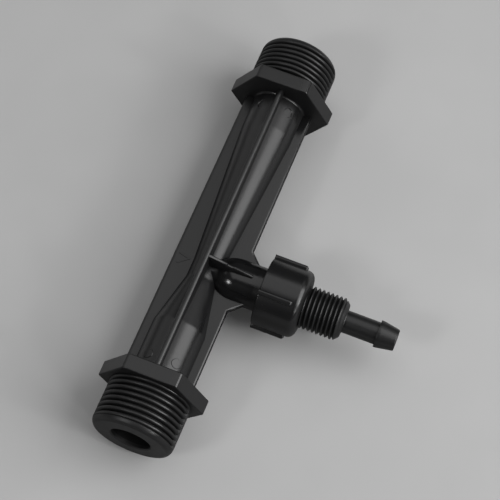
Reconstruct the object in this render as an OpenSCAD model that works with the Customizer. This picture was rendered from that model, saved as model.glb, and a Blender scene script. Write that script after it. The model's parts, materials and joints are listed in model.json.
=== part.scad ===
// Venturi fertilizer injector with a screw-on suction cap.
// Water flows along +X, the suction branch points along -Y and +Z is up.
// The origin lies on the flow axis, on the outer face of the inlet hexagon.

/* [Pipe ends] */
// Major diameter of the two pipe threads
thread_d = 26.44; // [22:0.02:30]
// Length of each threaded end, from the hexagon to its end face
thread_l = 15.4; // [10:0.1:24]
// Length of the plain nose that leads into each thread
nose_l = 1.6; // [0.6:0.1:3]
// Depth of the nose below the thread's crests, on the radius
nose_drop = 1.1; // [0.4:0.1:2]
// Shoulder that the hexagon's flats leave round the thread
hex_shoulder = 1.78; // [1:0.02:4]
// Thickness of each hexagon
hex_t = 5; // [3:0.1:10]
// Radius on the upper and lower corners of each hexagon
hex_round = 1.2; // [0.6:0.1:4]

/* [Flow passage] */
// Bore of the inlet
inlet_bore_d = 13; // [9:0.1:16]
// Bore of the throat
throat_bore_d = 5; // [3.5:0.1:7]
// Bore of the outlet
outlet_bore_d = 12.6; // [9:0.1:16]
// Wall of the straight tube at the inlet
inlet_wall = 2.2; // [1.6:0.1:3.4]
// Wall of the throat
throat_wall = 2.55; // [1.8:0.05:3.2]
// Wall of the straight tube at the outlet
outlet_wall = 2.35; // [1.6:0.05:3.4]
// Length of the straight tube after the inlet hexagon
inlet_l = 17.9; // [8:0.1:30]
// Length of the cone that narrows to the throat
converge_l = 17.8; // [12:0.1:30]
// Length of the throat
throat_l = 6; // [4:0.1:12]
// Length of the cone that widens after the throat
diffuse_l = 50.8; // [35:0.1:80]
// Length of the straight tube before the outlet hexagon
outlet_l = 12; // [8:0.1:24]
// Fillet between the tube and each hexagon
root_fillet = 0.5; // [0.3:0.1:1.2]

/* [Webs and gussets] */
// Height of the four webs above the widest part of the tube
web_h = 3; // [1.4:0.1:4]
// Thickness of the webs, which have full round edges
web_t = 2; // [1.2:0.1:2.6]
// Reach of the slanted web shoulders beside the branch
flare_l = 4.1; // [2:0.1:7]
// Thickness of the gussets above and below the branch
gusset_t = 1.2; // [0.8:0.1:2.4]
// Distance from the flow axis at which a gusset ends on the boss
gusset_l = 15.5; // [12.5:0.1:17]
// Height of a gusset's end above the boss
gusset_end_h = 0.6; // [0.3:0.05:1.2]
// Distance from the flow axis to the shallow notch in a gusset
notch_s = 6.9; // [5.5:0.1:8]
// Length of that notch
notch_l = 2.3; // [1:0.1:3.5]
// Depth of that notch
notch_depth = 0.45; // [0.1:0.05:0.8]
// How far a gusset starts below the web's edge
gusset_drop = 0.1; // [0.1:0.1:1]
// Diameter of the round ejector marks on the tube
pad_d = 3.3; // [2:0.1:5]
// Height of the marks that stand proud beside the inlet hexagon
pad_h = 0.1; // [0.05:0.01:0.4]
// Depth of the marks that are sunk beside the outlet hexagon
pad_sink = 0.12; // [0.05:0.01:0.4]
// Angle of the marks from the top of the tube
pad_angle = 32; // [24:1:50]
// Distance from a hexagon to the middle of its marks
pad_x = 4.7; // [3.2:0.1:6]

/* [Suction branch] */
// Distance from the end of the throat back to the suction port
port_back = 1.35; // [0.8:0.05:2.5]
// Diameter of the port between the throat and the valve chamber
port_d = 3; // [1.5:0.1:4]
// Length of the port through the throat's wall
port_l = 1.7; // [1.2:0.1:3]
// Wall of the boss round the valve chamber
boss_wall = 2.35; // [1.6:0.05:3.5]
// Diameter of the boss's foot on the flow axis
foot_d = 9.2; // [8:0.1:9.8]
// Length of the foot below the rounded shoulder of the boss
foot_l = 4.6; // [3:0.1:5.5]
// Radius of that shoulder
shoulder_r = 10; // [8:0.1:14]
// Distance from the flow axis at which the shoulder has become straight
shoulder_s = 10.4; // [9.5:0.1:12]
// Length of the boss from the middle of its chamber's dome to the back of the cap
neck_l = 10.2; // [8:0.1:16]
// Rise of the cap's thread above the boss
neck_rise = 1.85; // [1:0.05:3]
// Length of the cap's thread on the boss
neck_thread_l = 8.4; // [5:0.1:12]
// Depth of the cap's open back before its thread starts
cap_entry_l = 1; // [0.4:0.1:2]
// Gap between the thread on the boss and the bore of the cap
neck_gap = 0.1; // [0.05:0.01:0.3]

/* [Suction cap] */
// Wall of the cap round its thread
cap_wall = 1.9; // [1.4:0.1:3]
// Thickness of the cap's front
cap_front_t = 3.2; // [2.6:0.1:6]
// Radius of the rounded front edge
cap_round = 2.4; // [1:0.1:2.5]
// Number of grip ribs
rib_n = 4; // [2:1:8]
// Width of a grip rib
rib_w = 1.9; // [1.2:0.1:2.6]
// Height of a grip rib above the cap
rib_h = 1.2; // [0.6:0.1:1.8]
// Distance from the cap's front to the end of the ribs
rib_back = 2.8; // [2.6:0.1:5]
// Turn of the first rib from the top, towards the inlet
rib_angle = 27; // [0:1:89]
// Major diameter of the threaded spigot
spigot_d = 14; // [12:0.02:16]
// Length of the threaded spigot
spigot_l = 13.3; // [8:0.1:20]
// Chamfer at the spigot's end
spigot_chamfer = 1.6; // [0.5:0.05:2]
// Diameter of the hose stem
stem_d = 7.28; // [6.6:0.02:8.2]
// Length of the hose stem up to the barb
stem_l = 11; // [6:0.1:16]
// Diameter of the barb
barb_d = 8.8; // [8.4:0.02:10]
// Length of the barb with its tip
barb_l = 6.3; // [4:0.1:9]
// Length of the barb's straight land
barb_land = 0.8; // [0.4:0.1:1.5]
// Diameter of the tip
tip_d = 6.9; // [5.8:0.02:8]
// Bore of the suction tail
suction_bore_d = 4.4; // [3:0.1:5]

/* [Check valve] */
// Diameter of the check ball
ball_d = 8; // [7.2:0.1:9]
// Gap between the ball and the chamber round it
ball_gap = 0.8; // [0.5:0.05:1.2]
// Gap between the closed ball and its seat
seat_gap = 0.05; // [0.02:0.01:0.15]
// Margin of the seat's mouth beyond the ball
seat_margin = 0.2; // [0.1:0.05:0.6]
// Mean diameter of the spring's coils
spring_d = 6; // [5:0.1:6.4]
// Diameter of the spring's wire
wire_d = 0.35; // [0.25:0.05:0.6]
// Number of turns of the spring
spring_turns = 8; // [4:1:12]
// Gap between the spring and what it bears on
spring_gap = 0.05; // [0.02:0.01:0.15]
// Thickness of the flat seal
seal_t = 1.4; // [0.8:0.1:2.5]
// Gap between the seal and the bores that it lies in
seal_gap = 0.4; // [0.2:0.05:0.8]

/* [Hidden] */
$fn = 64;
black_plastic = [0.12, 0.12, 0.13];
seal_rubber = [0.2, 0.2, 0.21];
ball_white = [0.9, 0.89, 0.85];
spring_steel = [0.75, 0.76, 0.78];
// Overlap that lets joined volumes share more than a face
joint = 0.5;

// Places along the flow axis
tube_x = hex_t;
converge_x = tube_x + inlet_l;
throat_x = converge_x + converge_l;
diffuse_x = throat_x + throat_l;
outlet_x = diffuse_x + diffuse_l;
outlet_hex_x = outlet_x + outlet_l;
outlet_end_x = outlet_hex_x + hex_t + thread_l;
branch_x = diffuse_x - port_back;

// Radii of the flow passage and of the tube round it
inlet_bore_r = inlet_bore_d / 2;
throat_bore_r = throat_bore_d / 2;
outlet_bore_r = outlet_bore_d / 2;
inlet_r = inlet_bore_r + inlet_wall;
throat_r = throat_bore_r + throat_wall;
outlet_r = outlet_bore_r + outlet_wall;
thread_r = thread_d / 2;
hex_flat_r = thread_r + hex_shoulder;
web_r = max(inlet_r, outlet_r) + web_h;

// Radii of the suction branch
ball_r = ball_d / 2;
chamber_r = ball_r + ball_gap;
boss_r = chamber_r + boss_wall;
neck_r = boss_r + neck_rise;
cap_bore_r = neck_r + neck_gap;
cap_r = cap_bore_r + cap_wall;
spigot_r = spigot_d / 2;
foot_r = foot_d / 2;

// Places along the branch, measured from the flow axis
dome_s = throat_bore_r + port_l + chamber_r;
cap_s = dome_s + neck_l;
neck_s = cap_s + cap_entry_l;
rim_s = neck_s + neck_thread_l;
seat_s = rim_s + seal_t;
front_s = seat_s + cap_front_t;
spigot_end_s = front_s + spigot_l;
barb_s = spigot_end_s + stem_l;
tip_s = barb_s + barb_l;

// The seat is a cone of 45 degrees, so the closed ball stands this far from the cone's point
seat_mouth_r = ball_r + seat_margin;
ball_s = seat_s + seat_mouth_r - (ball_r + seat_gap) * sqrt(2);

// The spring bears on the chamber's dome and on the ball
coil_r = spring_d / 2;
wire_r = wire_d / 2;
coil_steps = 16 * spring_turns;
wire_sides = 8;
spring_foot_s = dome_s - sqrt(pow(chamber_r - wire_r - spring_gap, 2) - pow(coil_r, 2));
spring_head_s = ball_s - sqrt(pow(ball_r + wire_r + spring_gap, 2) - pow(coil_r, 2));

// Turns a shape that stands on Z so that it lies along the flow
module along_flow(x = 0) {
    translate([x, 0, 0]) rotate([0, 90, 0]) children();
}

// Turns a shape that stands on Z so that it lies along the suction branch
module along_branch(s = 0) {
    translate([branch_x, -s, 0]) rotate([90, 0, 0]) children();
}

// Threaded end as a plain solid of the thread's major diameter, with a tapered nose at the top
module pipe_end() {
    plain_l = thread_l - nose_l;
    translate([0, 0, -joint]) cylinder(r = thread_r, h = plain_l + joint);
    translate([0, 0, plain_l]) cylinder(r1 = thread_r, r2 = thread_r - nose_drop, h = nose_l);
}

// Hexagon with two of its flats facing up and down, sharp only at the corners on the parting line
module hexagon() {
    side = (hex_flat_r - hex_round) / cos(30);
    flat_middle = hex_flat_r * [sin(30), cos(30)];
    linear_extrude(hex_t) {
        for (turn = [0:60:300]) rotate(turn) {
            translate([0, -side / 2]) square([hex_flat_r, side]);
            translate([side * cos(30), side / 2]) circle(hex_round);
        }
        for (turn = [0, 180]) rotate(turn) polygon([
            [0, 0],
            flat_middle,
            [0, hex_flat_r / cos(30)],
            [-flat_middle[0], flat_middle[1]]
        ]);
    }
}

// Hollow fillet round a tube that stands on a hexagon
module fillet_ring(tube_r) {
    rotate_extrude() translate([tube_r, 0]) difference() {
        translate([-joint, -joint]) square(root_fillet + joint);
        translate([root_fillet, root_fillet]) circle(root_fillet);
    }
}

// Solid of revolution through the three diameters of the tube, or of its bore
module venturi_form(r_in, r_mid, r_out, x_start, x_end) {
    rotate_extrude() polygon([
        [0, x_start],
        [r_in, x_start],
        [r_in, converge_x],
        [r_mid, throat_x],
        [r_mid, diffuse_x],
        [r_out, outlet_x],
        [r_out, x_end],
        [0, x_end]
    ]);
}

// Section of one web, from the axis out to its rounded edge
module web_section() {
    edge_r = web_t / 2;
    translate([-edge_r, 0]) square([web_t, web_r - edge_r]);
    translate([0, web_r - edge_r]) circle(edge_r);
}

// Four webs along the whole tube
module webs() {
    span = outlet_hex_x - tube_x + 2 * joint;
    along_flow(tube_x - joint) linear_extrude(span)
        for (turn = [0:90:270]) rotate(turn) web_section();
}

// Slanted shoulders that carry the side web out to the boss
module web_flare() {
    half = boss_r + flare_l;
    translate([branch_x, 0, -web_t / 2]) linear_extrude(web_t) polygon([
        [-half, 0],
        [-half, -web_r],
        [-boss_r, -web_r - flare_l],
        [boss_r, -web_r - flare_l],
        [half, -web_r],
        [half, 0]
    ]);
}

// Gusset that falls from the upper web to the boss, with its shallow notch
module gusset() {
    start = web_r - gusset_drop;
    end = boss_r + gusset_end_h;
    fall = (start - end) / gusset_l;
    notch_end_s = notch_s + notch_l;
    translate([branch_x, 0, 0]) rotate([90, 0, -90]) linear_extrude(gusset_t, center = true) polygon([
        [0, 0],
        [0, start],
        [notch_s, start - fall * notch_s],
        [notch_s, start - fall * notch_s - notch_depth],
        [notch_end_s, start - fall * notch_end_s - notch_depth],
        [notch_end_s, start - fall * notch_end_s],
        [gusset_l, end],
        [gusset_l, 0]
    ]);
}

// Outline of the boss above its foot: a rounded shoulder that runs into a cylinder
module boss_outline() {
    end_s = neck_s + joint;
    intersection() {
        union() {
            translate([boss_r - shoulder_r, shoulder_s]) circle(shoulder_r);
            translate([0, shoulder_s]) square([boss_r, end_s - shoulder_s]);
        }
        square([boss_r, end_s]);
    }
}

// Boss of the branch on its tapered foot, with the plain form of its thread
module boss() {
    foot_top_r = boss_r - shoulder_r + sqrt(pow(shoulder_r, 2) - pow(shoulder_s - foot_l, 2));
    along_branch() {
        cylinder(r1 = foot_r, r2 = foot_top_r, h = foot_l);
        rotate_extrude() boss_outline();
        translate([0, 0, neck_s]) cylinder(r = neck_r, h = neck_thread_l);
    }
}

// Round-ended cylinder about the middle of the chamber's dome, up to a given distance along the branch
module dome(r, end_s) {
    rotate_extrude() intersection() {
        union() {
            translate([0, dome_s]) circle(r);
            translate([0, dome_s]) square([r, end_s - dome_s]);
        }
        square([r, end_s]);
    }
}

// One of two round pins on the upper half of the tube
module ejector_pin(x, side) {
    translate([x, 0, 0]) rotate([side * pad_angle, 0, 0]) cylinder(d = pad_d, h = web_r);
}

// Marks that stand proud of the tube
module proud_marks(x, tube_r) {
    for (side = [-1, 1]) intersection() {
        ejector_pin(x, side);
        along_flow(x - pad_d) cylinder(r = tube_r + pad_h, h = 2 * pad_d);
    }
}

// Volumes that sink marks into the tube
module sunk_marks(x, tube_r) {
    for (side = [-1, 1]) difference() {
        ejector_pin(x, side);
        along_flow(x - pad_d) cylinder(r = tube_r - pad_sink, h = 2 * pad_d);
    }
}

module injector_body() {
    color(black_plastic) difference() {
        union() {
            rotate([0, 0, 180]) along_flow() pipe_end();
            along_flow() hexagon();
            along_flow() venturi_form(inlet_r, throat_r, outlet_r, tube_x - joint, outlet_hex_x + joint);
            along_flow(tube_x) fillet_ring(inlet_r);
            along_flow(outlet_hex_x) mirror([0, 0, 1]) fillet_ring(outlet_r);
            along_flow(outlet_hex_x) hexagon();
            along_flow(outlet_hex_x + hex_t) pipe_end();
            webs();
            web_flare();
            gusset();
            mirror([0, 0, 1]) gusset();
            boss();
            proud_marks(tube_x + pad_x, inlet_r);
        }
        sunk_marks(outlet_hex_x - pad_x, outlet_r);
        along_flow() venturi_form(
            inlet_bore_r, throat_bore_r, outlet_bore_r, -thread_l - joint, outlet_end_x + joint
        );
        along_branch() cylinder(d = port_d, h = dome_s);
        along_branch() dome(chamber_r, rim_s + joint);
    }
}

// Outline of the cap's shell, drawn as radius against distance along the branch
module cap_outline() {
    square([cap_r - cap_round, front_s - cap_s]);
    square([cap_r, front_s - cap_s - cap_round]);
    translate([cap_r - cap_round, front_s - cap_s - cap_round]) circle(cap_round);
}

// Straight grip rib on the cap's wall
module grip_rib() {
    rib_l = front_s - rib_back - cap_s;
    translate([-rib_w / 2, cap_r - joint, 0]) cube([rib_w, rib_h + joint, rib_l]);
}

// Threaded spigot, stem and barb as one turned form, with the spigot as a plain solid
module suction_tail() {
    rotate_extrude() polygon([
        [0, front_s - joint],
        [spigot_r, front_s - joint],
        [spigot_r, spigot_end_s - spigot_chamfer],
        [spigot_r - spigot_chamfer, spigot_end_s],
        [stem_d / 2, spigot_end_s],
        [stem_d / 2, barb_s],
        [barb_d / 2, barb_s],
        [barb_d / 2, barb_s + barb_land],
        [tip_d / 2, tip_s],
        [0, tip_s]
    ]);
}

module suction_cap() {
    color(black_plastic) along_branch() difference() {
        union() {
            translate([0, 0, cap_s]) rotate_extrude() cap_outline();
            translate([0, 0, cap_s])
                for (i = [0 : rib_n - 1]) rotate(rib_angle + i * 360 / rib_n) grip_rib();
            suction_tail();
        }
        translate([0, 0, cap_s - joint]) cylinder(r = cap_bore_r, h = seat_s - cap_s + joint);
        translate([0, 0, seat_s]) cylinder(r1 = seat_mouth_r, r2 = 0, h = seat_mouth_r);
        translate([0, 0, seat_s]) cylinder(d = suction_bore_d, h = tip_s - seat_s + joint);
    }
}

module cap_seal() {
    color(seal_rubber) along_branch(rim_s) difference() {
        cylinder(r = neck_r - seal_gap, h = seal_t);
        translate([0, 0, -joint]) cylinder(r = chamber_r + seal_gap, h = seal_t + 2 * joint);
    }
}

module check_ball() {
    color(ball_white) along_branch(ball_s) sphere(ball_r);
}

// Point on the wire's surface, for a step along the coil and a side of the wire
function coil_point(step, side) =
    let(
        share = step / coil_steps,
        turn = 360 * spring_turns * share,
        around = 360 * side / wire_sides,
        r = coil_r + wire_r * cos(around)
    )
    [
        r * cos(turn),
        r * sin(turn),
        spring_foot_s + (spring_head_s - spring_foot_s) * share + wire_r * sin(around)
    ];

module check_spring() {
    points = [
        for (step = [0 : coil_steps], side = [0 : wire_sides - 1]) coil_point(step, side)
    ];
    skin = [
        for (step = [0 : coil_steps - 1], side = [0 : wire_sides - 1])
            let(next = (side + 1) % wire_sides, low = step * wire_sides, high = low + wire_sides)
            [low + side, high + side, high + next, low + next]
    ];
    last = coil_steps * wire_sides;
    foot = [for (side = [0 : wire_sides - 1]) side];
    head = [for (side = [wire_sides - 1 : -1 : 0]) last + side];
    color(spring_steel) along_branch() polyhedron(points, concat(skin, [foot, head]));
}

injector_body();
suction_cap();
cap_seal();
check_ball();
check_spring();
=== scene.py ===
"""Venturi fertilizer injector: moulded black body, screw-on suction cap and the valve inside."""
import json
import math

import bmesh
import bpy
from mathutils import Matrix, Vector


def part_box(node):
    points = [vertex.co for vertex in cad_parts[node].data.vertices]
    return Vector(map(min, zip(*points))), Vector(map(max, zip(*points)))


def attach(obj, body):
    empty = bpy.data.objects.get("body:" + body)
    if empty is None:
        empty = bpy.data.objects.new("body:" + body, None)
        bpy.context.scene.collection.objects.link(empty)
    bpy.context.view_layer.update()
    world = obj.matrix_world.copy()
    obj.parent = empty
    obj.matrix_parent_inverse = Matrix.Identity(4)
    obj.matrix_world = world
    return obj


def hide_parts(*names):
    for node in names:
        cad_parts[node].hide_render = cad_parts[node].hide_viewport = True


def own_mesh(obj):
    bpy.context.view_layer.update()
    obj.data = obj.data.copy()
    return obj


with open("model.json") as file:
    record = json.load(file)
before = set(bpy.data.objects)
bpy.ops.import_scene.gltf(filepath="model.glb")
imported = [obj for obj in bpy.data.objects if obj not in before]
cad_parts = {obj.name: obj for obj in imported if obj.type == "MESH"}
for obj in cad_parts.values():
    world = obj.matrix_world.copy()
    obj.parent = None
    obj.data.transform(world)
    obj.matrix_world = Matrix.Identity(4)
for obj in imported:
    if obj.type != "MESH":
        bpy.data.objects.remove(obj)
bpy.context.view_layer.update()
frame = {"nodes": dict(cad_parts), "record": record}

# Sizes are in millimetres and the scene is in metres
MM = 0.001
mounts = {mount["name"]: mount for mount in frame["record"]["mounts"]}
body_low, body_high = (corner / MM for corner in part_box("injector_body"))
cap_low, cap_high = (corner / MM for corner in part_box("suction_cap"))

# Pipe ends: 14 turns of thread to the inch up to a rounded nose, with a smooth land on each parting line
THREAD_R = mounts["inlet_thread"]["dims"]["r_mm"]
THREAD_L = -body_low.x
THREAD_PITCH = 25.4 / 14
THREAD_DEPTH = 0.64 * THREAD_PITCH
THREAD_FULLNESS = 2.6
INLET_START, OUTLET_START = -1.16, -1.61
LAND_HALF = 1.3
LAND_DRAFT = 1.1
LAND_MARGIN = 0.5
LAND_EDGE_R = 0.05
NOSE_L = THREAD_L - mounts["inlet_thread"]["dims"]["length_mm"]
NOSE_DROP = 1.1
NOSE_EASE = 0.95
LIP_EASE = 0.9
NOSE_RUN_OUT = 0.3
NOSE_MARGIN = 0.2

# Ridge of any thread: how deep it is buried, its half width in pitches, and its fade in turns
RIDGE_BURY = 0.12
RIDGE_HALF = 0.485
RIDGE_FADE = 0.35
RIDGE_LEAST = 0.02
RIDGE_STEPS = 96
RIDGE_POINTS = 17

# Hexagons
HEX_HALF = body_high.z
HEX_T = 5.0
HEX_CORNER_R = 1.25
HEX_TIP_R = 0.5
HEX_EDGE_R = 0.4

# Tube, from the inlet hexagon to the outlet hexagon
INLET_R, THROAT_R, OUTLET_R = 8.7, 5.05, 8.65
INLET_BORE_R, THROAT_BORE_R, OUTLET_BORE_R = 6.5, 2.5, 6.3
TUBE_X = HEX_T
CONVERGE_X = TUBE_X + 17.9
THROAT_X = CONVERGE_X + 17.8
DIFFUSE_X = THROAT_X + 6.0
OUTLET_X = DIFFUSE_X + 50.8
OUTLET_HEX_X = body_high.x - THREAD_L - HEX_T
ROOT_FILLET = 0.8
TUBE_EASE = 0.5
BORE_EDGE = 0.35

# Webs, gussets and marks on the tube
WEB_R = 11.7
WEB_T = 2.0
WEB_EDGE_R = 0.97
FLARE_L = 4.1
FLARE_ROOT = 2.0
FLARE_INSET = 0.02
GUSSET_T = 1.2
GUSSET_EDGE_R = 0.5
GUSSET_L = 15.5
GUSSET_TOP = WEB_R - 0.1
GUSSET_END_H = 0.6
GUSSET_BEVEL = 0.25
NOTCH_S, NOTCH_END_S = 6.9, 9.2
NOTCH_DEPTH = 0.45
NOTCH_LEAN = 0.15
PAD_R = 1.65
PAD_H = 0.14
PAD_SINK = 0.22
PAD_X = 4.7
PAD_ANGLE = math.radians(32)
PAD_SLOPE = 0.3
PAD_SLOPE_LOW, PAD_SLOPE_HIGH = -0.45, 0.3
PAD_FOOT, PAD_TOP = -2, 1
PAD_SLEEVE = 3
CHEVRON_TIP = (46.4, 6.3)
CHEVRON_ENDS = ((47.26, 9.84), (43.86, 9.3))
CHEVRON_HALF = 0.25
CHEVRON_T = 0.24
CHEVRON_EDGE_R = 0.08

# Suction branch: distances run from the flow axis along -Y
BRANCH_X = mounts["suction_thread"]["pos_m"][0] / MM
BOSS_R = 7.15
FOOT_R = 4.6
FOOT_L = 4.6
FOOT_EASE = 0.6
SHOULDER_R = 10.0
SHOULDER_S = 10.4
CHAMBER_R = 4.8
DOME_S = 9.0
PORT_R = 1.5
NECK_R = 9.0
NECK_CHAMFER = 0.4
CAP_S = -cap_high.y
NECK_S = CAP_S + 1.0
RIM_S = NECK_S + 8.4
SEAT_S = RIM_S + 1.4
FRONT_S = -mounts["suction_thread"]["pos_m"][1] / MM
TIP_S = -cap_low.y

# Suction cap
CAP_R = 11.0
CAP_BORE_R = 9.1
CAP_BORE_EDGE = 0.3
CAP_ROUND = 2.4
CAP_BACK_R = 0.35
RIB_COUNT = 4
RIB_W = 1.9
RIB_TOP_R = 12.2
RIB_FOOT_R = CAP_R - 0.9
RIB_NOSE_R = 0.9
RIB_EDGE_R = 0.7
RIB_ANGLE = math.radians(27)
RIB_END_S = FRONT_S - 2.8
SPIGOT_R = mounts["suction_thread"]["dims"]["r_mm"]
SPIGOT_END_S = FRONT_S + 13.3
SPIGOT_CHAMFER = 1.6
SPIGOT_EASE = 0.3
SPIGOT_PITCH = 1.44
SPIGOT_DEPTH = 0.62 * SPIGOT_PITCH
SPIGOT_FULLNESS = 1.7
SPIGOT_START = -0.21
STEM_R = 3.64
STEM_FILLET = 0.5
BARB_R = mounts["hose_barb"]["dims"]["r_mm"]
BARB_S = SPIGOT_END_S + 11.0
BARB_LAND = mounts["hose_barb"]["dims"]["length_mm"]
TIP_R = 3.45
BARB_EASE = 0.12
BARB_LAND_EASE = 0.3
TIP_EASE = 0.35
SUCTION_BORE_R = 2.2
SUCTION_BORE_EDGE = 0.25
SEAT_MOUTH_R = 4.2

# Check valve
COIL_R = 3.0
WIRE_R = 0.175
COIL_TURNS = 8
COIL_STEPS = 48
WIRE_SIDES = 12

# Where the gloss changes along the branch and at the pipe ends, and where the painted shade in a groove
# ends
BOSS_GLOSS_S = (5.5, 7.5)
CAP_GLOSS_S = (16.5, 17.5)
TAIL_GLOSS_S = (33.5, 34.5)
END_GLOSS_L = 0.5
GROOVE_LIP = 0.15
GROOVE_BLEND = 0.4

# Overlap between solids that are joined, steps round a turned form, and the most that is shaded smooth
LAP = 0.4
ROUND_STEPS = 160
SMOOTH_ANGLE = math.radians(38)

# Axes of the turned forms: Z of a form lies along the outlet, the inlet or the branch
OUTLET = Matrix(((0, 0, 1, 0), (1, 0, 0, 0), (0, 1, 0, 0), (0, 0, 0, 1)))
INLET = Matrix(((0, 0, -1, 0), (1, 0, 0, 0), (0, -1, 0, 0), (0, 0, 0, 1)))
BRANCH = Matrix(((1, 0, 0, BRANCH_X * MM), (0, 0, -1, 0), (0, 1, 0, 0), (0, 0, 0, 1)))
# A plate's outline lies in its X and Y: an upright plate along the flow, or across it on the branch
UPRIGHT = Matrix(((1, 0, 0, 0), (0, 0, -1, 0), (0, 1, 0, 0), (0, 0, 0, 1)))
ACROSS = Matrix(((0, 0, -1, BRANCH_X * MM), (-1, 0, 0, 0), (0, 1, 0, 0), (0, 0, 0, 1)))


def along_x(distance):
    """Shift along the flow axis."""
    return Matrix.Translation((distance * MM, 0, 0))


def solid(name, points, faces, place=Matrix.Identity(4)):
    """Closed mesh object from points in millimetres, with its place in its mesh."""
    mesh = bpy.data.meshes.new(name)
    mesh.from_pydata([Vector(point) * MM for point in points], [], faces)
    mesh.transform(place)
    work = bmesh.new()
    work.from_mesh(mesh)
    bmesh.ops.remove_doubles(work, verts=work.verts, dist=1e-7)
    bmesh.ops.recalc_face_normals(work, faces=work.faces)
    work.to_mesh(mesh)
    work.free()
    piece = bpy.data.objects.new(name, mesh)
    bpy.context.scene.collection.objects.link(piece)
    return piece


def arc(centre, radius, start, end, steps=6):
    """Points of an arc in a plane, with angles in degrees."""
    turns = [math.radians(start + (end - start) * step / steps) for step in range(steps + 1)]
    return [(centre[0] + radius * math.cos(turn), centre[1] + radius * math.sin(turn)) for turn in turns]


def eased(before, corner, after, reach, steps=8):
    """Points that round a corner of an outline, starting a given reach before it."""
    corner = Vector(corner)
    first = corner + (Vector(before) - corner).normalized() * reach
    last = corner + (Vector(after) - corner).normalized() * reach
    shares = [step / steps for step in range(steps + 1)]
    return [first * (1 - t) ** 2 + corner * (2 * t * (1 - t)) + last * t ** 2 for t in shares]


def turned(name, outline, place, steps=ROUND_STEPS):
    """Solid of revolution about Z through points of radius and height, closed at both poles."""
    points, rings, faces = [], [], []
    for radius, height in outline:
        count = 1 if radius < 1e-6 else steps
        turns = [2 * math.pi * step / steps for step in range(count)]
        rings.append([len(points) + step for step in range(count)])
        points += [(radius * math.cos(turn), radius * math.sin(turn), height) for turn in turns]
    for low, high in zip(rings, rings[1:]):
        for step in range(steps):
            after = (step + 1) % steps
            corners = [low[step % len(low)], low[after % len(low)]]
            corners += [high[after % len(high)], high[step % len(high)]]
            face = list(dict.fromkeys(corners))
            if len(face) > 2:
                faces.append(face)
    return solid(name, points, faces, place)


def inset(outline, depth):
    """Closed outline moved inwards by a depth, with mitred corners."""
    moved = []
    for index, corner in enumerate(outline):
        here = Vector(corner)
        into = (here - Vector(outline[index - 1])).normalized()
        out = (Vector(outline[(index + 1) % len(outline)]) - here).normalized()
        first, second = Vector((-into.y, into.x)), Vector((-out.y, out.x))
        moved.append(here + (first + second) * (depth / (1 + first.dot(second))))
    return moved


def plate(name, outline, thickness, edge_r, place, steps=5):
    """Plate with a counter-clockwise outline and rounded edges on both faces."""
    half = thickness / 2
    quarter = [math.pi / 2 * step / steps for step in range(steps + 1)]
    levels = [(edge_r * (1 - math.sin(t)), -half + edge_r * (1 - math.cos(t))) for t in quarter]
    levels += [(depth, -height) for depth, height in reversed(levels)]
    points, faces = [], []
    count = len(outline)
    for depth, height in levels:
        points += [(x, y, height) for x, y in inset(outline, depth)]
    for level in range(len(levels) - 1):
        low, high = level * count, (level + 1) * count
        for step in range(count):
            after = (step + 1) % count
            faces.append([low + step, low + after, high + after, high + step])
    faces.append(list(range(count))[::-1])
    faces.append([(len(levels) - 1) * count + step for step in range(count)])
    return solid(name, points, faces, place)


def settle(piece):
    """Turns a piece's modifiers into its plain mesh."""
    graph = bpy.context.evaluated_depsgraph_get()
    mesh = bpy.data.meshes.new_from_object(piece.evaluated_get(graph))
    piece.modifiers.clear()
    piece.data = mesh
    return piece


def combine(base, operation, tools):
    """Joins, cuts or trims a solid with others, which are used up."""
    for tool in tools:
        step = base.modifiers.new(tool.name, "BOOLEAN")
        step.operation = operation
        step.solver = "MANIFOLD"
        step.object = tool
    settle(base)
    for tool in tools:
        bpy.data.objects.remove(tool)
    return base


class Sheet:
    """A geometry node tree under construction, with named inputs."""

    def __init__(self, name, inputs):
        self.tree = bpy.data.node_groups.new(name, "GeometryNodeTree")
        self.tree.interface.new_socket("Geometry", in_out="OUTPUT", socket_type="NodeSocketGeometry")
        self.keys = {}
        for label, kind in inputs.items():
            socket = self.tree.interface.new_socket(label, in_out="INPUT", socket_type="NodeSocket" + kind)
            self.keys[label] = socket.identifier
        self.inlet = self.tree.nodes.new("NodeGroupInput")

    def input(self, label):
        return self.inlet.outputs[label]

    def node(self, kind, settings, values, output=0):
        """Adds a node with its settings and the values or links of its sockets."""
        made = self.tree.nodes.new(kind)
        for key, setting in settings.items():
            setattr(made, key, setting)
        for key, value in values.items():
            if isinstance(value, bpy.types.NodeSocket):
                self.tree.links.new(value, made.inputs[key])
            else:
                made.inputs[key].default_value = value
        return made.outputs[output]

    def maths(self, operation, *terms):
        return self.node("ShaderNodeMath", {"operation": operation}, dict(enumerate(terms)))

    def close(self, geometry):
        """Ends the tree in real geometry with its material."""
        real = self.node("GeometryNodeRealizeInstances", {}, {"Geometry": geometry})
        named = {"Geometry": real, "Material": self.input("Material")}
        finished = self.node("GeometryNodeSetMaterial", {}, named)
        outlet = self.tree.nodes.new("NodeGroupOutput")
        self.tree.links.new(finished, outlet.inputs["Geometry"])
        return self


def grow(name, sheet, values, mesh=None):
    """Plain mesh object from a geometry node tree and the values of its named inputs."""
    piece = bpy.data.objects.new(name, mesh or bpy.data.meshes.new(name))
    bpy.context.scene.collection.objects.link(piece)
    modifier = piece.modifiers.new(name, "NODES")
    modifier.node_group = sheet.tree
    for label, value in values.items():
        modifier[sheet.keys[label]] = value
    return settle(piece)


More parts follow.
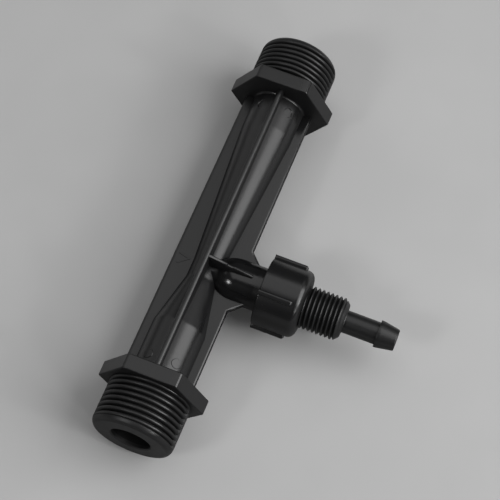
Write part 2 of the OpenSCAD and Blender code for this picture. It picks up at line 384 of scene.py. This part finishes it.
def thread_sheet():
    """Tree of a helical thread ridge with rounded crests, which fades in at its foot."""
    inputs = {"Path Radius": "Float", "Height": "Float", "Half Width": "Float", "Pitch": "Float"}
    inputs.update({"Turns": "Float", "Fade Turns": "Float", "Fullness": "Float"})
    inputs.update({"Steps": "Int", "Material": "Material"})
    sheet = Sheet("thread_ridge", inputs)
    rise = sheet.maths("MULTIPLY", sheet.input("Pitch"), sheet.input("Turns"))
    radius = sheet.input("Path Radius")
    path = sheet.node("GeometryNodeCurveSpiral", {}, {
        "Resolution": sheet.input("Steps"), "Rotations": sheet.input("Turns"),
        "Start Radius": radius, "End Radius": radius, "Height": rise, "Reverse": True,
    })
    path = sheet.node("GeometryNodeSetCurveNormal", {"mode": "Z_UP"}, {"Curve": path})
    line = sheet.node("GeometryNodeCurvePrimitiveLine", {}, {"Start": (-1, 0, 0), "End": (1, 0, 0)})
    line = sheet.node("GeometryNodeResampleCurve", {}, {"Curve": line, "Count": RIDGE_POINTS})
    spot = sheet.node("GeometryNodeInputPosition", {}, {})
    across = sheet.node("ShaderNodeSeparateXYZ", {}, {0: spot}, output="X")
    flank = sheet.maths("POWER", sheet.maths("ABSOLUTE", across), sheet.input("Fullness"))
    swell = sheet.maths("SUBTRACT", 1.0, flank)
    section = sheet.node("ShaderNodeCombineXYZ", {}, {
        "X": sheet.maths("MULTIPLY", swell, sheet.input("Height")),
        "Y": sheet.maths("MULTIPLY", across, sheet.input("Half Width")),
    })
    line = sheet.node("GeometryNodeSetPosition", {}, {"Geometry": line, "Position": section})
    line = sheet.node("GeometryNodeSetSplineCyclic", {}, {"Geometry": line, "Cyclic": True})
    share = sheet.node("GeometryNodeSplineParameter", {}, {}, output="Factor")
    turn = sheet.maths("MULTIPLY", share, sheet.input("Turns"))
    fade = sheet.maths("MINIMUM", sheet.maths("DIVIDE", turn, sheet.input("Fade Turns")), 1.0)
    scale = sheet.maths("MAXIMUM", fade, RIDGE_LEAST)
    ridge = sheet.node("GeometryNodeCurveToMesh", {}, {
        "Curve": path, "Profile Curve": line, "Scale": scale, "Fill Caps": True,
    })
    return sheet.close(ridge)


def polar_sheet():
    """Tree of equal copies of a mesh round Z."""
    inputs = {"Geometry": "Geometry", "Count": "Int", "First Angle": "Float", "Material": "Material"}
    sheet = Sheet("polar_copies", inputs)
    points = sheet.node("GeometryNodeMeshLine", {}, {"Count": sheet.input("Count"), "Offset": (0, 0, 0)})
    index = sheet.node("GeometryNodeInputIndex", {}, {})
    step = sheet.maths("DIVIDE", 2 * math.pi, sheet.input("Count"))
    turn = sheet.maths("MULTIPLY_ADD", index, step, sheet.input("First Angle"))
    rotation = sheet.node("ShaderNodeCombineXYZ", {}, {"Z": turn})
    copies = sheet.node("GeometryNodeInstanceOnPoints", {}, {
        "Points": points, "Instance": sheet.input("Geometry"), "Rotation": rotation,
    })
    return sheet.close(copies)


def coil_sheet():
    """Tree of a round wire wound into a coil along Z."""
    inputs = {"Coil Radius": "Float", "Wire Radius": "Float", "Length": "Float", "Turns": "Float"}
    inputs["Material"] = "Material"
    sheet = Sheet("spring_coil", inputs)
    radius = sheet.input("Coil Radius")
    path = sheet.node("GeometryNodeCurveSpiral", {}, {
        "Resolution": COIL_STEPS, "Rotations": sheet.input("Turns"), "Start Radius": radius,
        "End Radius": radius, "Height": sheet.input("Length"), "Reverse": True,
    })
    wire = sheet.node("GeometryNodeCurvePrimitiveCircle", {}, {
        "Resolution": WIRE_SIDES, "Radius": sheet.input("Wire Radius"),
    })
    coil = sheet.node("GeometryNodeCurveToMesh", {}, {
        "Curve": path, "Profile Curve": wire, "Fill Caps": True,
    })
    return sheet.close(coil)


class Value:
    """A shader socket that takes part in Python arithmetic."""

    def __init__(self, recipe, socket):
        self.recipe = recipe
        self.socket = socket

    def maths(self, operation, first, second):
        return self.recipe.node("ShaderNodeMath", {"operation": operation}, {0: first, 1: second})

    def __add__(self, other):
        return self.maths("ADD", self, other)

    def __radd__(self, other):
        return self.maths("ADD", other, self)

    def __sub__(self, other):
        return self.maths("SUBTRACT", self, other)

    def __rsub__(self, other):
        return self.maths("SUBTRACT", other, self)

    def __mul__(self, other):
        return self.maths("MULTIPLY", self, other)

    def __rmul__(self, other):
        return self.maths("MULTIPLY", other, self)


class Recipe:
    """A material under construction."""

    def __init__(self, name):
        self.material = bpy.data.materials.new(name)
        self.material.use_nodes = True
        self.tree = self.material.node_tree
        self.tree.nodes.clear()

    def node(self, kind, settings=None, values=None, output=0):
        """Adds a node with its settings and the values or links of its sockets."""
        made = self.tree.nodes.new(kind)
        for key, setting in (settings or {}).items():
            setattr(made, key, setting)
        for key, value in (values or {}).items():
            if isinstance(value, Value):
                self.tree.links.new(value.socket, made.inputs[key])
            else:
                made.inputs[key].default_value = value
        return Value(self, made.outputs[output])

    def spots(self, stretch, detail=2.0, roughness=0.5):
        """Soft noise from 0 to 1 whose grains are about 1 / stretch metres, per axis."""
        place = self.node("ShaderNodeTexCoord", output="Object")
        grid = self.node("ShaderNodeMapping", {}, {"Vector": place, "Scale": stretch})
        wanted = {"Vector": grid, "Scale": 1.0, "Detail": detail, "Roughness": roughness}
        return self.node("ShaderNodeTexNoise", {}, wanted)

    def axis(self, letter):
        """One axis of the place on the piece."""
        place = self.node("ShaderNodeTexCoord", output="Object")
        return self.node("ShaderNodeSeparateXYZ", {}, {0: place}, output=letter)

    def share(self, value, low, high):
        """Smooth share from 0 to 1 of a value between two others."""
        wanted = {"Value": value, "From Min": low, "From Max": high}
        return self.node("ShaderNodeMapRange", {"interpolation_type": "SMOOTHSTEP"}, wanted)

    def groove(self, along, across, middle, crest_r, depth, first, last):
        """Share from 0 to 1 of the depth in a thread, between two stations along its axis: the mask of the
        painted shade and the matt finish in its grooves.
        """
        along, height = self.axis(along), self.axis("Z")
        across = self.axis(across) - middle * MM
        low, high = ((crest_r - depth) * MM) ** 2, ((crest_r - GROOVE_LIP * depth) * MM) ** 2
        deep = 1.0 - self.share(across * across + height * height, low, high)
        edge = GROOVE_BLEND * MM
        starts = self.share(along, first * MM - edge, first * MM)
        return deep * starts * (1.0 - self.share(along, last * MM, last * MM + edge))

    def blend(self, factor, first, second):
        """Mix of two colours."""
        made = {0: factor, 6: first, 7: second}
        return self.node("ShaderNodeMix", {"data_type": "RGBA"}, made, output=2)

    def surface(self, sockets):
        """One skin with its constant and varying values."""
        return self.node("ShaderNodeBsdfPrincipled", {}, sockets)

    def finish(self, surface):
        """Ends the material in a surface."""
        outlet = self.tree.nodes.new("ShaderNodeOutputMaterial")
        self.tree.links.new(surface.socket, outlet.inputs["Surface"])
        return self.material


def black_moulding(name, flow_stretch, threads):
    """Black moulded plastic: smooth on top, matt on its sides, with painted shade that darkens its thread
    grooves.
    """
    recipe = Recipe(name)
    flow = recipe.spots(flow_stretch, detail=3.0)
    mottle = recipe.spots((900, 900, 900))
    grain = recipe.spots((5200, 5200, 5200), detail=1.0)
    depth = 0.0
    for thread in threads:
        depth = depth + recipe.groove(*thread)
    upward = recipe.node("ShaderNodeAttribute", {"attribute_name": "upward"}, output="Fac")
    polish = recipe.share(upward, 0.2, 0.75) * (1.0 - depth)
    out = recipe.axis("Y")
    stretches = (BOSS_GLOSS_S, CAP_GLOSS_S, TAIL_GLOSS_S)
    branch, cap, tail = (recipe.share(out, -start * MM, -end * MM) for start, end in stretches)
    along = recipe.axis("X")
    thread_x, blend = (OUTLET_HEX_X + HEX_T) * MM, END_GLOSS_L * MM
    ends = recipe.share(along, 0.0, -blend) + recipe.share(along, thread_x, thread_x + blend)
    colour = recipe.blend(flow, (0.0035, 0.0035, 0.0037, 1), (0.0060, 0.0060, 0.0063, 1))
    # Painted shade: the base colour goes to near black deep in the thread grooves
    colour = recipe.blend(depth, colour, (0.0008, 0.0008, 0.0008, 1))
    bump = recipe.node("ShaderNodeBump", {}, {"Strength": 0.25, "Distance": 0.00003, "Height": grain})
    shared = {"Base Color": colour, "Normal": bump, "IOR": 1.49}
    matt = recipe.surface(shared | {"Roughness": 0.54 + 0.10 * flow, "Specular IOR Level": 0.25})
    sheen = 0.25 + 0.09 * flow + 0.05 * mottle - 0.15 * branch + 0.08 * cap + 0.11 * tail + 0.12 * ends
    satin = recipe.surface(shared | {"Roughness": sheen})
    return recipe.finish(recipe.node("ShaderNodeMixShader", {}, {0: polish, 1: matt, 2: satin}))


def seal_rubber():
    """Soft black rubber with a dusty bloom."""
    recipe = Recipe("seal_rubber")
    bloom = recipe.spots((700, 700, 700), detail=4.0)
    grain = recipe.spots((4000, 4000, 4000))
    colour = recipe.blend(bloom, (0.012, 0.012, 0.012, 1), (0.03, 0.03, 0.031, 1))
    bump = recipe.node("ShaderNodeBump", {}, {"Strength": 0.3, "Distance": 0.00004, "Height": grain})
    sockets = {"Base Color": colour, "Roughness": 0.62 + 0.2 * bloom, "Normal": bump}
    return recipe.finish(recipe.surface(sockets))


def ball_plastic():
    """White ground plastic ball with faint clouding."""
    recipe = Recipe("ball_plastic")
    cloud = recipe.spots((260, 260, 260), detail=4.0)
    colour = recipe.blend(cloud, (0.70, 0.69, 0.65, 1), (0.84, 0.83, 0.80, 1))
    return recipe.finish(recipe.surface({"Base Color": colour, "Roughness": 0.18 + 0.15 * cloud}))


def spring_steel():
    """Drawn stainless wire with fine die lines."""
    recipe = Recipe("spring_steel")
    lines = recipe.spots((9000, 1500, 9000), detail=1.0)
    colour = recipe.blend(lines, (0.52, 0.53, 0.55, 1), (0.68, 0.69, 0.71, 1))
    sockets = {"Base Color": colour, "Roughness": 0.22 + 0.16 * lines, "Metallic": 1.0}
    return recipe.finish(recipe.surface(sockets))


def dress(piece, material):
    """Gives a finished piece its material, smooth faces and crisp flat faces."""
    piece.data.materials.clear()
    piece.data.materials.append(material)
    piece.data.shade_smooth()
    piece.data.set_sharp_from_angle(angle=SMOOTH_ANGLE)
    crisp = piece.modifiers.new("crisp", "WEIGHTED_NORMAL")
    crisp.keep_sharp = True
    return settle(piece)


def mark_upward(piece):
    """Keeps how far each corner of a moulding's faces looks up, for its finish."""
    upward = piece.data.attributes.new("upward", "FLOAT", "CORNER")
    upward.data.foreach_set("value", [normal.vector.z for normal in piece.data.corner_normals])
    return piece


def threaded(name, sheet, material, crest_r, pitch, depth, fullness, start, envelope, extra):
    """Helical thread on a plain core, trimmed to the outline of its crests and end."""
    end = envelope[-1][1]
    root_r = crest_r - depth
    foot = envelope[0][1]
    core = turned(name, [(0, foot), (root_r, foot), (root_r, end), (0, end)], Matrix.Identity(4))
    ridge = grow(name + "_ridge", sheet, {
        "Path Radius": (root_r - RIDGE_BURY) * MM, "Height": (depth + RIDGE_BURY) * MM,
        "Half Width": RIDGE_HALF * pitch * MM, "Pitch": pitch * MM,
        "Turns": (end - start) / pitch + 0.5, "Fade Turns": RIDGE_FADE, "Fullness": fullness,
        "Steps": RIDGE_STEPS, "Material": material,
    })
    ridge.data.transform(Matrix.Translation((0, 0, start * MM)))
    combine(core, "UNION", [ridge] + extra)
    trim = turned(name + "_trim", envelope, Matrix.Identity(4))
    return combine(core, "INTERSECT", [trim])


def parting_lands():
    """Smooth strips along the mould's parting lines, where a pipe thread's grooves run out."""
    inner, outer = THREAD_R - THREAD_DEPTH - LAND_MARGIN, THREAD_R + LAND_MARGIN
    slope = LAND_DRAFT / THREAD_DEPTH
    low, high = LAND_HALF + slope * (THREAD_R - inner), LAND_HALF + slope * (THREAD_R - outer)
    outline = [(inner, -low), (outer, -high), (outer, high), (inner, low)]
    length = THREAD_L + LAP
    place = Matrix.Translation((0, 0, (length / 2 - LAP) * MM))
    turns = (Matrix.Identity(4), Matrix.Rotation(math.pi, 4, "Z"))
    return [plate("land", outline, length, LAND_EDGE_R, turn @ place) for turn in turns]


def pipe_end(name, sheet, material, start, place):
    """One threaded pipe end with its nose, standing on a hexagon."""
    shoulder = (THREAD_R, THREAD_L - NOSE_L)
    lip = (THREAD_R - NOSE_DROP, THREAD_L)
    envelope = [(0, -LAP), (THREAD_R, -LAP)]
    envelope += eased((THREAD_R, 0), shoulder, lip, NOSE_EASE)
    envelope += eased(shoulder, lip, (0, THREAD_L), LIP_EASE)
    envelope.append((0, THREAD_L))
    root = shoulder[1] + NOSE_RUN_OUT
    ring_r = THREAD_R + NOSE_MARGIN
    ring = [(0, root - THREAD_DEPTH), (THREAD_R - THREAD_DEPTH, root - THREAD_DEPTH), (ring_r, root)]
    nose = turned("nose", ring + [(ring_r, THREAD_L), (0, THREAD_L)], Matrix.Identity(4))
    extra = parting_lands() + [nose]
    size = (THREAD_R, THREAD_PITCH, THREAD_DEPTH, THREAD_FULLNESS)
    end = threaded(name, sheet, material, *size, start, envelope, extra)
    end.data.transform(place)
    return end


def hexagon(name, x):
    """Hexagon flange with two flats facing up and down, sharp only on the parting line."""
    outline = []
    for corner in range(6):
        turn = 60 * corner
        radius = HEX_CORNER_R if corner % 3 else HEX_TIP_R
        reach = (HEX_HALF - radius) / math.cos(math.pi / 6)
        centre = (reach * math.cos(math.radians(turn)), reach * math.sin(math.radians(turn)))
        outline += arc(centre, radius, turn - 30, turn + 30)
    return plate(name, outline, HEX_T, HEX_EDGE_R, along_x(x + HEX_T / 2) @ OUTLET)


def tube():
    """Outside of the tube: straight, narrowing to the throat, widening and straight again."""
    inlet_fillet = (INLET_R + ROOT_FILLET, TUBE_X + ROOT_FILLET)
    outlet_fillet = (OUTLET_R + ROOT_FILLET, OUTLET_HEX_X - ROOT_FILLET)
    corners = [
        (INLET_R, TUBE_X), (INLET_R, CONVERGE_X), (THROAT_R, THROAT_X),
        (THROAT_R, DIFFUSE_X), (OUTLET_R, OUTLET_X), (OUTLET_R, OUTLET_HEX_X),
    ]
    outline = [(0, TUBE_X - LAP), (inlet_fillet[0], TUBE_X - LAP)]
    outline += arc(inlet_fillet, ROOT_FILLET, 270, 180)
    for index in range(1, 5):
        outline += eased(corners[index - 1], corners[index], corners[index + 1], TUBE_EASE, steps=4)
    outline += arc(outlet_fillet, ROOT_FILLET, 180, 90)
    outline += [(outlet_fillet[0], OUTLET_HEX_X + LAP), (0, OUTLET_HEX_X + LAP)]
    return turned("tube", outline, OUTLET)


def flow_passage():
    """Bore from the inlet mouth through the throat to the outlet mouth."""
    start, end = -THREAD_L, body_high.x
    outline = [
        (0, start - LAP), (INLET_BORE_R + BORE_EDGE + LAP, start - LAP), (INLET_BORE_R, start + BORE_EDGE),
        (INLET_BORE_R, CONVERGE_X), (THROAT_BORE_R, THROAT_X), (THROAT_BORE_R, DIFFUSE_X),
        (OUTLET_BORE_R, OUTLET_X), (OUTLET_BORE_R, end - BORE_EDGE),
        (OUTLET_BORE_R + BORE_EDGE + LAP, end + LAP), (0, end + LAP),
    ]
    return turned("flow_passage", outline, OUTLET)


def webs(sheet, material):
    """Four webs along the tube, with the slanted shoulders beside the branch."""
    low, high = TUBE_X - HEX_T / 2, OUTLET_HEX_X + HEX_T / 2
    outline = [(low, 0), (high, 0), (high, WEB_R), (low, WEB_R)]
    blade = plate("web", outline, WEB_T, WEB_EDGE_R, OUTLET.inverted() @ UPRIGHT)
    ring = grow("webs", sheet, {"Count": 4, "First Angle": 0.0, "Material": material}, blade.data)
    ring.data.transform(OUTLET)
    bpy.data.objects.remove(blade)
    half, root, edge = BOSS_R + FLARE_L, FLARE_ROOT, WEB_R - FLARE_INSET
    wing = [
        (BRANCH_X - half - root, 0), (BRANCH_X - half - root, -edge), (BRANCH_X - half, -edge),
        (BRANCH_X - BOSS_R + root, -edge - FLARE_L - root),
        (BRANCH_X + BOSS_R - root, -edge - FLARE_L - root),
        (BRANCH_X + half, -edge), (BRANCH_X + half + root, -edge), (BRANCH_X + half + root, 0),
    ]
    return [ring, plate("wing", wing, WEB_T, WEB_EDGE_R, Matrix.Identity(4))]


def gussets():
    """Gussets that fall from the upper and lower web to the boss."""
    end = BOSS_R + GUSSET_END_H
    fall = (GUSSET_TOP - end) / GUSSET_L
    near, far = GUSSET_TOP - fall * NOTCH_S, GUSSET_TOP - fall * NOTCH_END_S
    outline = [
        (0, 0), (GUSSET_L, 0), (GUSSET_L, end - GUSSET_BEVEL),
        (GUSSET_L - GUSSET_BEVEL, end + fall * GUSSET_BEVEL),
        (NOTCH_END_S, far), (NOTCH_END_S - NOTCH_LEAN, far - NOTCH_DEPTH),
        (NOTCH_S + NOTCH_LEAN, near - NOTCH_DEPTH), (NOTCH_S, near), (0, GUSSET_TOP),
    ]
    flip = Matrix.Rotation(math.pi, 4, "Y")
    flip = Matrix.Translation((BRANCH_X * MM, 0, 0)) @ flip @ Matrix.Translation((-BRANCH_X * MM, 0, 0))
    places = (ACROSS, flip @ ACROSS)
    return [plate("gusset", outline, GUSSET_T, GUSSET_EDGE_R, place) for place in places]


def dome(name, radius, end_s):
    """Round-ended cylinder about the middle of the boss's dome, along the branch."""
    outline = arc((0, DOME_S), radius, -90, 0, steps=40) + [(radius, end_s), (0, end_s)]
    outline[0] = (0, DOME_S - radius)
    return turned(name, outline, BRANCH)


def boss():
    """Boss with a tapered foot and a rounded shoulder, and the plain form of the thread under the cap."""
    centre = (BOSS_R - SHOULDER_R, SHOULDER_S)
    lean = math.degrees(math.asin((FOOT_L - SHOULDER_S) / SHOULDER_R))
    shoulder = arc(centre, SHOULDER_R, lean, 0, steps=24)
    outline = [(0, 0), (FOOT_R, 0)] + eased((FOOT_R, 0), shoulder[0], shoulder[3], FOOT_EASE, steps=6)
    outline += shoulder[3:] + [(BOSS_R, NECK_S + LAP), (0, NECK_S + LAP)]
    neck = [(0, NECK_S), (NECK_R - NECK_CHAMFER, NECK_S), (NECK_R, NECK_S + NECK_CHAMFER)]
    neck += [(NECK_R, RIM_S - NECK_CHAMFER), (NECK_R - NECK_CHAMFER, RIM_S), (0, RIM_S)]
    return [turned("boss", outline, BRANCH), turned("neck", neck, BRANCH)]


def ejector_marks(x, tube_r, skin, operation):
    """Two round volumes with sloping sides at the mould's pins, up to a skin or outside it."""
    marks = []
    slope = math.copysign(PAD_SLOPE, skin - tube_r)
    wide, narrow = PAD_R + slope, PAD_R - slope
    outline = [
        (0, tube_r + PAD_FOOT), (wide, tube_r + PAD_FOOT), (wide, tube_r + PAD_SLOPE_LOW),
        (narrow, tube_r + PAD_SLOPE_HIGH), (narrow, tube_r + PAD_TOP), (0, tube_r + PAD_TOP),
    ]
    low, high = x - PAD_SLEEVE, x + PAD_SLEEVE
    sleeve = [(0, low), (skin, low), (skin, high), (0, high)]
    for side in (-1, 1):
        lean = along_x(x) @ Matrix.Rotation(side * PAD_ANGLE, 4, "X")
        mark = turned("mark", outline, lean, steps=64)
        marks.append(combine(mark, operation, [turned("mark_skin", sleeve, OUTLET)]))
    return marks


def mould_chevron():
    """Small raised chevron on the web away from the branch."""
    tip = Vector(CHEVRON_TIP)
    strokes = []
    for end in map(Vector, CHEVRON_ENDS):
        run = (end - tip).normalized() * CHEVRON_HALF
        side = Vector((-run.y, run.x))
        outline = [tip - run - side, end + run - side, end + run + side, tip - run + side]
        place = Matrix.Translation((0, 0, WEB_T / 2 * MM))
        strokes.append(plate("chevron", outline, CHEVRON_T, CHEVRON_EDGE_R, place))
    return strokes


def injector_body(thread, polar, material):
    """The one-piece moulding of the injector."""
    body = tube()
    joined = [hexagon("inlet_hex", 0), hexagon("outlet_hex", OUTLET_HEX_X)]
    joined.append(pipe_end("inlet_end", thread, material, INLET_START, INLET))
    outlet = along_x(OUTLET_HEX_X + HEX_T) @ OUTLET
    joined.append(pipe_end("outlet_end", thread, material, OUTLET_START, outlet))
    joined += webs(polar, material) + gussets() + boss() + mould_chevron()
    joined += ejector_marks(TUBE_X + PAD_X, INLET_R, INLET_R + PAD_H, "INTERSECT")
    combine(body, "UNION", joined)
    sunk = ejector_marks(OUTLET_HEX_X - PAD_X, OUTLET_R, OUTLET_R - PAD_SINK, "DIFFERENCE")
    combine(body, "DIFFERENCE", sunk)
    port = turned("port", [(0, 0), (PORT_R, 0), (PORT_R, DOME_S), (0, DOME_S)], BRANCH, steps=48)
    combine(body, "DIFFERENCE", [flow_passage(), port, dome("chamber", CHAMBER_R, RIM_S + LAP)])
    body.name = "moulded_body"
    return mark_upward(dress(body, material))


def cap_shell():
    """Outside of the screw cap, with its rounded front shoulder."""
    outline = [(0, CAP_S), (CAP_R - CAP_BACK_R, CAP_S)]
    outline += arc((CAP_R - CAP_BACK_R, CAP_S + CAP_BACK_R), CAP_BACK_R, -90, 0, steps=4)
    outline += arc((CAP_R - CAP_ROUND, FRONT_S - CAP_ROUND), CAP_ROUND, 0, 90, steps=10)
    outline.append((0, FRONT_S))
    return turned("cap_shell", outline, Matrix.Identity(4))


def grip_ribs(sheet, material):
    """Ribs round the cap for the fingers, rounded at the front."""
    outline = [(CAP_S, RIB_FOOT_R), (RIB_END_S, RIB_FOOT_R), (RIB_END_S, RIB_TOP_R - RIB_NOSE_R)]
    outline += arc((RIB_END_S - RIB_NOSE_R, RIB_TOP_R - RIB_NOSE_R), RIB_NOSE_R, 0, 90)[1:]
    outline.append((CAP_S, RIB_TOP_R))
    stand = Matrix(((0, 0, 1, 0), (0, 1, 0, 0), (1, 0, 0, 0), (0, 0, 0, 1)))
    rib = plate("rib", outline, RIB_W, RIB_EDGE_R, stand)
    values = {"Count": RIB_COUNT, "First Angle": RIB_ANGLE, "Material": material}
    ribs = grow("ribs", sheet, values, rib.data)
    bpy.data.objects.remove(rib)
    return ribs


def hose_tail():
    """Stem and barb beyond the threaded spigot."""
    barb = (BARB_R, BARB_S)
    land = (BARB_R, BARB_S + BARB_LAND)
    tip = (TIP_R, TIP_S)
    fillet = (STEM_R + STEM_FILLET, SPIGOT_END_S + STEM_FILLET)
    outline = [(0, SPIGOT_END_S - LAP), (fillet[0], SPIGOT_END_S - LAP)]
    outline += arc(fillet, STEM_FILLET, 270, 180)
    outline += [(STEM_R, BARB_S)]
    outline += eased((STEM_R, BARB_S), barb, land, BARB_EASE, steps=4)
    outline += eased(barb, land, tip, BARB_LAND_EASE, steps=4)
    outline += eased(land, tip, (0, TIP_S), TIP_EASE, steps=5)
    outline.append((0, TIP_S))
    return turned("hose_tail", outline, Matrix.Identity(4))


def suction_passage():
    """Inside of the cap: thread bore, ball seat and the bore through the tail."""
    mouth = SUCTION_BORE_R + SUCTION_BORE_EDGE
    outline = [
        (0, CAP_S - LAP), (CAP_BORE_R + CAP_BORE_EDGE + LAP, CAP_S - LAP),
        (CAP_BORE_R, CAP_S + CAP_BORE_EDGE), (CAP_BORE_R, SEAT_S),
        (SEAT_MOUTH_R, SEAT_S), (SUCTION_BORE_R, SEAT_S + SEAT_MOUTH_R - SUCTION_BORE_R),
        (SUCTION_BORE_R, TIP_S - SUCTION_BORE_EDGE), (mouth + LAP, TIP_S + LAP), (0, TIP_S + LAP),
    ]
    return turned("suction_passage", outline, Matrix.Identity(4))


def suction_cap(thread, polar, material):
    """The one-piece cap with its spigot and hose barb."""
    length = SPIGOT_END_S - FRONT_S
    shoulder = (SPIGOT_R, length - SPIGOT_CHAMFER)
    lip = (SPIGOT_R - SPIGOT_CHAMFER, length)
    envelope = [(0, -LAP), (SPIGOT_R, -LAP)] + eased((SPIGOT_R, 0), shoulder, lip, SPIGOT_EASE, steps=4)
    envelope += [lip, (0, length)]
    size = (SPIGOT_R, SPIGOT_PITCH, SPIGOT_DEPTH, SPIGOT_FULLNESS)
    spigot = threaded("spigot", thread, material, *size, SPIGOT_START, envelope, [])
    spigot.data.transform(Matrix.Translation((0, 0, FRONT_S * MM)))
    cap = combine(cap_shell(), "UNION", [grip_ribs(polar, material), spigot, hose_tail()])
    combine(cap, "DIFFERENCE", [suction_passage()])
    cap.data.transform(BRANCH)
    cap.name = "moulded_cap"
    return mark_upward(dress(cap, material))


def valve_spring(material):
    """Coil between the chamber's dome and the ball, at the place of its solid."""
    low, high = (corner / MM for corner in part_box("check_spring"))
    foot, head = -high.y + WIRE_R, -low.y - WIRE_R
    coil = grow("valve_spring", coil_sheet(), {
        "Coil Radius": COIL_R * MM, "Wire Radius": WIRE_R * MM, "Length": (head - foot) * MM,
        "Turns": float(COIL_TURNS), "Material": material,
    })
    coil.data.transform(BRANCH @ Matrix.Translation((0, 0, foot * MM)))
    return dress(coil, material)


def follow_ball(spring):
    """Reads how far the ball lifts, but leaves the spring at its full length and only gives it its own
    mesh.
    """
    low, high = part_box("check_spring")
    anchor = (BRANCH_X * MM, high.y, 0.0)
    travel = [joint for joint in frame["record"]["behaviour"]["joints"] if joint["name"] == "ball_lift"]
    longest = travel[0]["range_m"][1]
    1 - longest / (high.y - low.y)
    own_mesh(spring)


def area_light(name, place, target, size, power):
    """Softbox at a place, in metres, that faces a target."""
    lamp = bpy.data.lights.new(name, "AREA")
    lamp.shape = "RECTANGLE"
    lamp.size, lamp.size_y = size
    lamp.energy = power
    holder = bpy.data.objects.new(name, lamp)
    holder.location = place
    holder.rotation_euler = (Vector(target) - Vector(place)).to_track_quat("-Z", "Y").to_euler()
    bpy.context.scene.collection.objects.link(holder)


def floor():
    """Plain pale floor under the hexagons' flats."""
    half = 3.0
    ground = body_low.z * MM
    mesh = bpy.data.meshes.new("floor")
    corners = [(-half, -half, ground), (half, -half, ground), (half, half, ground), (-half, half, ground)]
    mesh.from_pydata(corners, [], [(0, 1, 2, 3)])
    sheet = bpy.data.objects.new("floor", mesh)
    recipe = Recipe("floor")
    tone = recipe.spots((30, 30, 30))
    colour = recipe.blend(tone, (0.365, 0.365, 0.365, 1), (0.405, 0.405, 0.405, 1))
    mesh.materials.append(recipe.finish(recipe.surface({"Base Color": colour, "Roughness": 0.9})))
    bpy.context.scene.collection.objects.link(sheet)


def studio():
    """Wide window on the branch's side, three small boxes round the inlet, a dim ceiling and dim walls."""
    middle = (0.055, -0.01, 0.0)
    area_light("side_window", (0.13, -0.77, 0.65), middle, (0.96, 0.92), 11.3)
    area_light("back_box", (-0.52, 0.37, 0.6), middle, (0.16, 0.16), 1.5)
    area_light("front_box", (-0.06, -0.825, 0.475), middle, (0.09, 0.09), 0.9)
    area_light("corner_box", (-0.495, -0.665, 0.4), middle, (0.1, 0.1), 0.9)
    area_light("ceiling", (0.28, 0.1, 1.1), middle, (1.0, 1.0), 3.1)
    area_light("end_wall", (0.635, -0.345, 0.743), middle, (0.75, 0.7), 0.75)
    area_light("far_wall", (0.40, 0.85, 0.55), middle, (0.9, 0.7), 1.15)
    world = bpy.data.worlds.new("room")
    world.use_nodes = True
    world.node_tree.nodes["Background"].inputs["Color"].default_value = (0.08, 0.08, 0.08, 1)
    world.node_tree.nodes["Background"].inputs["Strength"].default_value = 1.0
    bpy.context.scene.world = world


def camera():
    """Camera above the inlet end, fitted to the photograph's view."""
    place = Vector((-146.894, -74.031, 446.196)) * MM
    right = Vector((0.36551581, -0.93018298, 0.03402656))
    up = Vector((0.834562, 0.343692, 0.430561))
    back = right.cross(up)
    lens = bpy.data.cameras.new("camera")
    lens.sensor_width = 36.0
    lens.lens = 111.84
    lens.clip_start = 0.01
    holder = bpy.data.objects.new("camera", lens)
    turn = Matrix((right, up, back)).transposed().to_4x4()
    holder.matrix_world = Matrix.Translation(place) @ turn
    bpy.context.scene.collection.objects.link(holder)
    bpy.context.scene.camera = holder


def build():
    """Makes every piece and fits it to the frame."""
    thread, polar = thread_sheet(), polar_sheet()
    reach = THREAD_L - NOSE_L
    pipe_threads = [
        ("X", "Y", 0.0, THREAD_R, THREAD_DEPTH, -reach, 0.0),
        ("X", "Y", 0.0, THREAD_R, THREAD_DEPTH, OUTLET_HEX_X + HEX_T, OUTLET_HEX_X + HEX_T + reach),
    ]
    spigot_end = SPIGOT_END_S - SPIGOT_CHAMFER
    spigot_thread = ("Y", "X", BRANCH_X, SPIGOT_R, SPIGOT_DEPTH, -spigot_end, -FRONT_S)
    body_finish = black_moulding("body_moulding", (35, 160, 160), pipe_threads)
    cap_finish = black_moulding("cap_moulding", (160, 60, 160), [spigot_thread])
    body = injector_body(thread, polar, body_finish)
    cap = suction_cap(thread, polar, cap_finish)
    steel = spring_steel()
    spring = valve_spring(steel)
    pieces = (
        (body, "injector_body", "body_plastic"), (cap, "suction_cap", "cap_plastic"),
        (spring, "check_spring", "spring_steel"),
    )
    for piece, node, slot in pieces:
        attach(piece, "injector")
        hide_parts(node)
    follow_ball(spring)
    for node, material in (("cap_seal", seal_rubber()), ("check_ball", ball_plastic())):
        for slot in frame["nodes"][node].material_slots:
            slot.material = material


bpy.context.scene.view_settings.view_transform = "Standard"
build()
floor()
studio()
camera()
